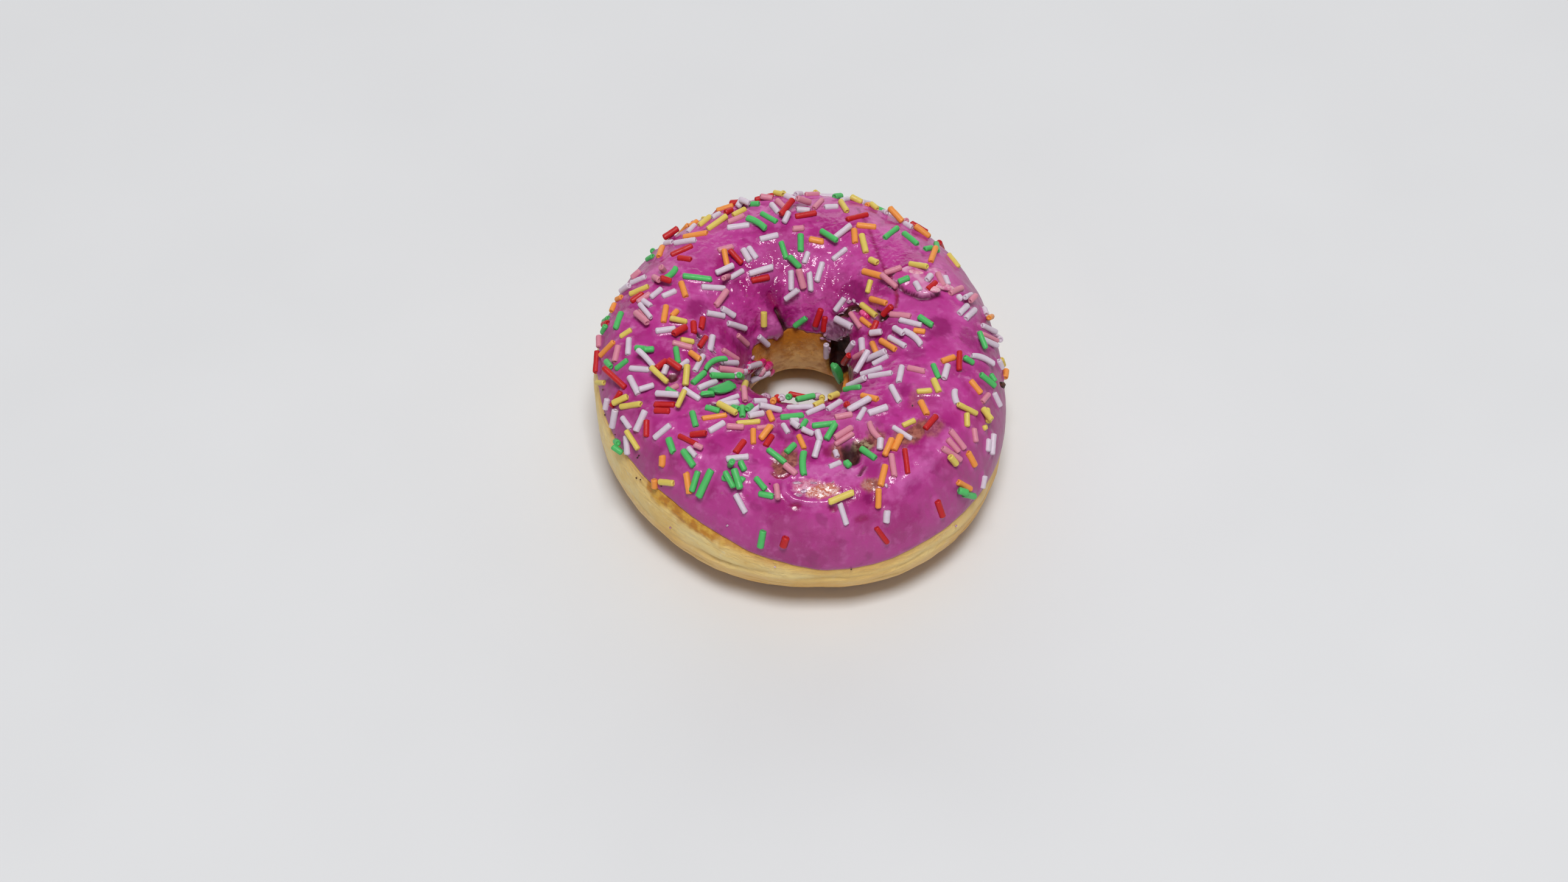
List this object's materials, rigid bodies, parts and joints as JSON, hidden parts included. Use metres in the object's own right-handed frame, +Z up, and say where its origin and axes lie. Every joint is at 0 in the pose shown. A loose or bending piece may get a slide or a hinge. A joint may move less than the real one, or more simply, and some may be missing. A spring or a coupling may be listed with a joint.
{
  "type": "sprinkle frosted ring doughnut",
  "caption": "Ring doughnut of raised dough, rounded and slightly oval, with set icing over its upper half and a hole through the middle; rests flat on its underside.",
  "frame": {"origin": "centre of the doughnut's outline, at the surface it rests on", "axes": "+Z up through the ring's crest; +Y along the longest way across the ring, away from the shown front; +X to the front's right"},
  "size_m": [0.0854, 0.098, 0.0334],
  "materials": {
    "baked_dough": "fried raised dough, golden crust, matt with a faint greasy sheen",
    "set_icing": "set fondant icing, magenta pink, glossy on top and satin with fine wrinkles on the sides",
    "sugar_sprinkle": "sugar strands with a thin wax polish, satin"
  },
  "bodies": {
    "root": {"dough": "baked_dough", "icing": "set_icing"}
  },
  "joints": []
}
